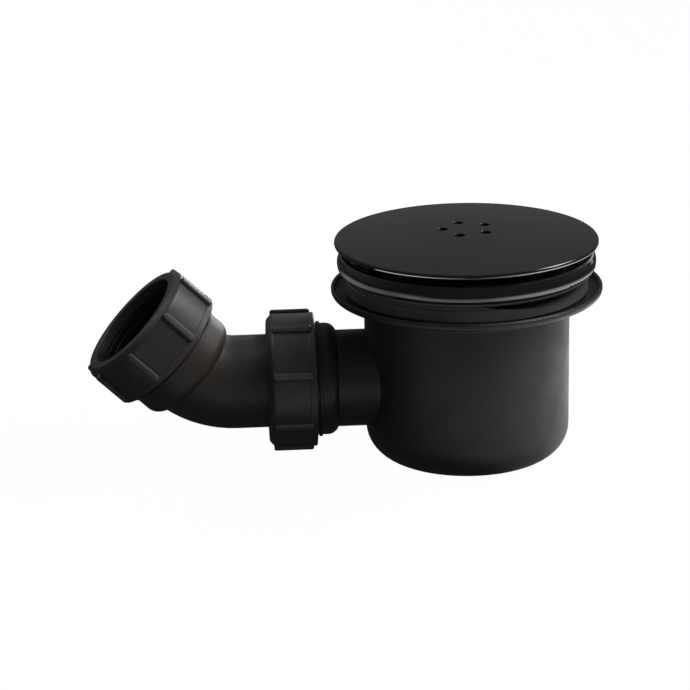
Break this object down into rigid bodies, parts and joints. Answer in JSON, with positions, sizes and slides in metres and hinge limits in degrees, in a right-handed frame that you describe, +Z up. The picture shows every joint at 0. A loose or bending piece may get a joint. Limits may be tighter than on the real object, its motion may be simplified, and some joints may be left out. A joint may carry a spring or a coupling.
{
  "type": "shower waste",
  "caption": "Shower tray waste: low domed cover over a screw-in clamping flange, trap bowl with a lift-out dip tube, and a swivel outlet elbow with ribbed compression nuts.",
  "frame": {"origin": "centre of the body's flat base", "axes": "+Z up along the bowl's axis; the outlet leaves along -X"},
  "size_m": [0.2248, 0.118, 0.1018],
  "materials": {
    "gloss_black": "gloss",
    "matte_black": "moulded matte",
    "nut_black": "moulded matte",
    "inner_plastic": "moulded satin",
    "seal_rubber": "moulded matte"
  },
  "bodies": {
    "body": {"body": "matte_black", "lower_seal": "seal_rubber", "trap_cup": "inner_plastic", "outlet_seal": "seal_rubber"},
    "upper_seal": {"upper_seal": "seal_rubber"},
    "upper_flange": {"upper_flange": "gloss_black"},
    "dip_tube": {"dip_tube": "inner_plastic", "dip_tube_o_ring": "seal_rubber", "hair_strainer": "inner_plastic"},
    "cover": {"cover": "gloss_black"},
    "outlet_slip_ring": {"outlet_slip_ring": "inner_plastic"},
    "outlet_nut": {"outlet_nut": "nut_black"},
    "elbow": {"elbow": "matte_black", "elbow_seal": "seal_rubber"},
    "elbow_slip_ring": {"elbow_slip_ring": "inner_plastic"},
    "elbow_nut": {"elbow_nut": "nut_black"}
  },
  "joints": [
    {"name": "flange_rise", "type": "slide", "parent": "body", "child": "upper_seal", "axis": [0, 0, 1], "range_m": [0, 0.009]},
    {"name": "flange_turn", "type": "hinge", "parent": "upper_seal", "child": "upper_flange", "pos_m": [0, 0, 0.0845], "axis": [0, 0, 1], "range_deg": [0, 1080]},
    {"name": "dip_tube_lift", "type": "slide", "parent": "upper_flange", "child": "dip_tube", "axis": [0, 0, 1], "range_m": [0, 0.08]},
    {"name": "cover_lift", "type": "slide", "parent": "dip_tube", "child": "cover", "axis": [0, 0, 1], "range_m": [0, 0.03]},
    {"name": "outlet_nut_slide", "type": "slide", "parent": "body", "child": "outlet_slip_ring", "axis": [-1, 0, 0], "range_m": [0, 0.012]},
    {"name": "outlet_nut_turn", "type": "hinge", "parent": "outlet_slip_ring", "child": "outlet_nut", "pos_m": [0, 0, 0.0357], "axis": [-1, 0, 0], "range_deg": [0, 1080]},
    {"name": "elbow_swivel", "type": "hinge", "parent": "body", "child": "elbow", "pos_m": [0, 0, 0.0357], "axis": [-1, 0, 0], "range_deg": [-85, 95]},
    {"name": "elbow_nut_slide", "type": "slide", "parent": "elbow", "child": "elbow_slip_ring", "axis": [-0.7071, -0.0616, 0.7044], "range_m": [0, 0.012]},
    {"name": "elbow_nut_turn", "type": "hinge", "parent": "elbow_slip_ring", "child": "elbow_nut", "pos_m": [-0.12338, -0.00074, 0.04419], "axis": [-0.7071, -0.0616, 0.7044], "range_deg": [0, 1080]}
  ],
  "couplings": [
    {"joint": "flange_rise", "follows": "flange_turn", "m_per_rad": 0.00047746},
    {"joint": "outlet_nut_slide", "follows": "outlet_nut_turn", "m_per_rad": 0.00063662},
    {"joint": "elbow_nut_slide", "follows": "elbow_nut_turn", "m_per_rad": 0.00063662}
  ]
}
